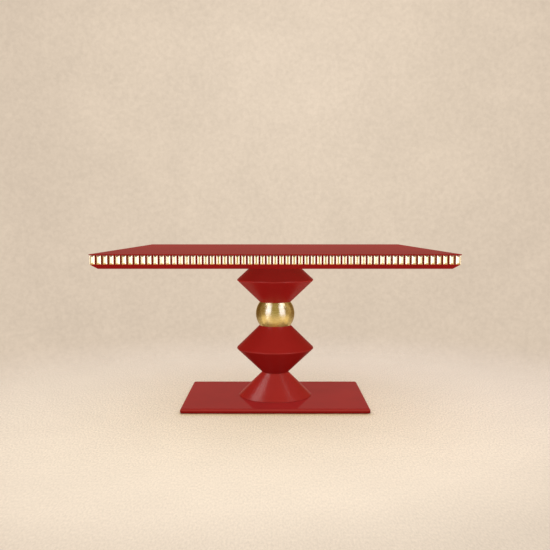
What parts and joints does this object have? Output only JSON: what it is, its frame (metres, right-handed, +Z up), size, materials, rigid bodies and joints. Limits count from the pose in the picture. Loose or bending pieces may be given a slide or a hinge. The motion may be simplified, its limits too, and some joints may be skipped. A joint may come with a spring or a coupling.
{
  "type": "dining table",
  "caption": "Square lacquered dining table with a gilded bead edge, on a turned double-cone pedestal with a gilt ball, an oblong base plate and screw-in levelling glides.",
  "frame": {"origin": "on the floor, on the pedestal's axis", "axes": "+Z up, along the pedestal; X along the longer side of the base plate; the front faces -Y"},
  "size_m": [1.5, 1.5, 0.77],
  "materials": {
    "red_lacquer": "gloss",
    "gilding": "satin",
    "gilt_brass": "satin",
    "bare_wood": "matte",
    "plywood": "matte",
    "black_steel": "satin",
    "zinc_steel": "satin",
    "black_nylon": "matte"
  },
  "bodies": {
    "table": {"tabletop_panel": "red_lacquer", "edge_rail_front": "red_lacquer", "edge_rail_right": "red_lacquer", "edge_rail_back": "red_lacquer", "edge_rail_left": "red_lacquer", "bead_strip_front": "gilding", "bead_strip_right": "gilding", "bead_strip_back": "gilding", "bead_strip_left": "gilding", "long_rib_left": "bare_wood", "long_rib_right": "bare_wood", "cross_rib_left": "bare_wood", "cross_rib_right": "bare_wood", "mounting_block": "plywood", "underside_panel": "red_lacquer", "mounting_plate": "black_steel", "plate_screw_1": "zinc_steel", "plate_screw_2": "zinc_steel", "plate_screw_3": "zinc_steel", "plate_screw_4": "zinc_steel", "plate_screw_5": "zinc_steel", "plate_screw_6": "zinc_steel", "plate_screw_7": "zinc_steel", "plate_screw_8": "zinc_steel", "cone_screw_1": "zinc_steel", "cone_screw_2": "zinc_steel", "cone_screw_3": "zinc_steel", "cone_screw_4": "zinc_steel", "upper_double_cone": "red_lacquer", "ball_shell": "gilt_brass", "ball_core": "bare_wood", "lower_double_cone": "red_lacquer", "foot_cone": "red_lacquer", "lower_dowel": "bare_wood", "middle_dowel": "bare_wood", "upper_dowel": "bare_wood", "tie_rod": "zinc_steel", "upper_washer": "zinc_steel", "upper_nut": "zinc_steel", "lower_washer": "zinc_steel", "lower_nut": "zinc_steel", "base_plate": "red_lacquer", "base_screw_1": "zinc_steel", "base_screw_2": "zinc_steel", "base_screw_3": "zinc_steel", "base_screw_4": "zinc_steel", "glide_insert_front_left": "zinc_steel", "glide_insert_front_right": "zinc_steel", "glide_insert_back_left": "zinc_steel", "glide_insert_back_right": "zinc_steel"},
    "glide_front_left": {"glide_foot_front_left": "black_nylon", "glide_stem_front_left": "zinc_steel"},
    "glide_front_right": {"glide_foot_front_right": "black_nylon", "glide_stem_front_right": "zinc_steel"},
    "glide_back_left": {"glide_foot_back_left": "black_nylon", "glide_stem_back_left": "zinc_steel"},
    "glide_back_right": {"glide_foot_back_right": "black_nylon", "glide_stem_back_right": "zinc_steel"}
  },
  "joints": [
    {"name": "glide_front_left_screw", "type": "slide", "parent": "table", "child": "glide_front_left", "axis": [0, 0, -1], "range_m": [0, 0.006]},
    {"name": "glide_front_right_screw", "type": "slide", "parent": "table", "child": "glide_front_right", "axis": [0, 0, -1], "range_m": [0, 0.006]},
    {"name": "glide_back_left_screw", "type": "slide", "parent": "table", "child": "glide_back_left", "axis": [0, 0, -1], "range_m": [0, 0.006]},
    {"name": "glide_back_right_screw", "type": "slide", "parent": "table", "child": "glide_back_right", "axis": [0, 0, -1], "range_m": [0, 0.006]}
  ]
}
